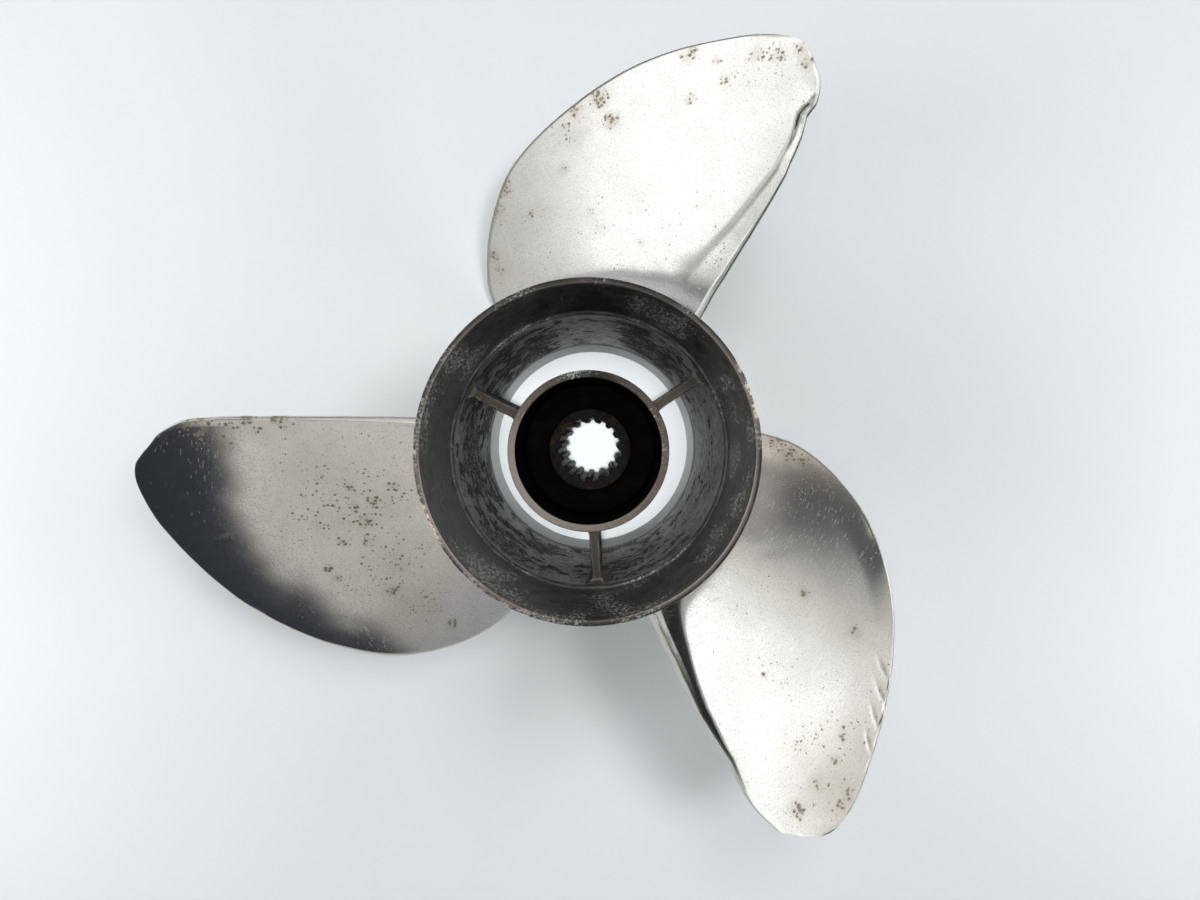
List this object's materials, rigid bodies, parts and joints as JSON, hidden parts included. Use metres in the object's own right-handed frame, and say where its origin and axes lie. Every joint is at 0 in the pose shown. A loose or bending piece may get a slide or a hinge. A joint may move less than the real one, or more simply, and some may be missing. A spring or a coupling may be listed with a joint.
{
  "type": "ship propeller",
  "caption": "Left-hand ship propeller with skewed, cupped blades on a hollow hub, an inner tube on webs for the exhaust, and a rubber-mounted splined sleeve.",
  "frame": {"origin": "on the shaft axis, at the height of the propeller's centre of mass", "axes": "+Z along the shaft axis, pointing aft; +X and +Y across it, with the first blade's tip 64.2 degrees from +X towards +Y"},
  "size_m": [0.3108, 0.3139, 0.135],
  "materials": {
    "polished_stainless": "polished, worn and spotted with rust",
    "exhaust_stained_stainless": "cast, blackened by exhaust",
    "black_rubber": "matt",
    "rusted_steel": "dark brown rust"
  },
  "bodies": {
    "root": {"outer_hub": "exhaust_stained_stainless", "inner_hub": "exhaust_stained_stainless", "web_1": "exhaust_stained_stainless", "web_2": "exhaust_stained_stainless", "web_3": "exhaust_stained_stainless", "blade_1": "polished_stainless", "blade_2": "polished_stainless", "blade_3": "polished_stainless", "rubber_bushing": "black_rubber", "spline_sleeve": "rusted_steel"}
  },
  "joints": []
}
